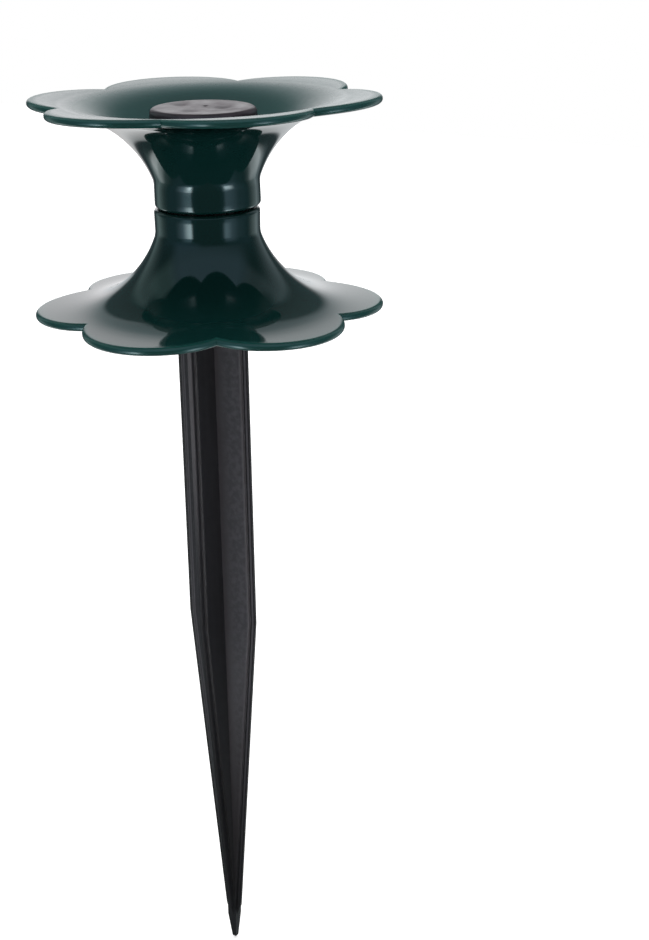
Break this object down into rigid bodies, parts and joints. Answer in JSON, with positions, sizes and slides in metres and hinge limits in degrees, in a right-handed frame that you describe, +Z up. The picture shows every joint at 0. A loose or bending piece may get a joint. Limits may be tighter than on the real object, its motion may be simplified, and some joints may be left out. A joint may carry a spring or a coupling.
{
  "type": "hose guide stake",
  "caption": "Garden hose guide: flower-shaped trumpet rollers, neck to neck, spin on the post of a finned ground spike and turn a dragged hose round a corner.",
  "frame": {"origin": "on the axis at the ground line, 15 mm below the lower flower's underside", "axes": "+Z up along the stake, +X along one fin of the spike"},
  "size_m": [0.0872, 0.0898, 0.25],
  "materials": {
    "spike_black": "satin, with faint lengthwise drag marks",
    "cap_black": "satin, with a slight sink in the middle",
    "petal_green": "high gloss"
  },
  "bodies": {
    "stake": {"ground_spike": "spike_black", "top_cap": "cap_black"},
    "lower_roller": {"lower_flower": "petal_green"},
    "upper_roller": {"upper_flower": "petal_green"}
  },
  "joints": [
    {"name": "lower_spin", "type": "hinge", "parent": "stake", "child": "lower_roller", "pos_m": [0, 0, 0.0357], "axis": [0, 0, 1], "continuous": true},
    {"name": "upper_spin", "type": "hinge", "parent": "stake", "child": "upper_roller", "pos_m": [0, 0, 0.0495], "axis": [0, 0, 1], "continuous": true}
  ]
}
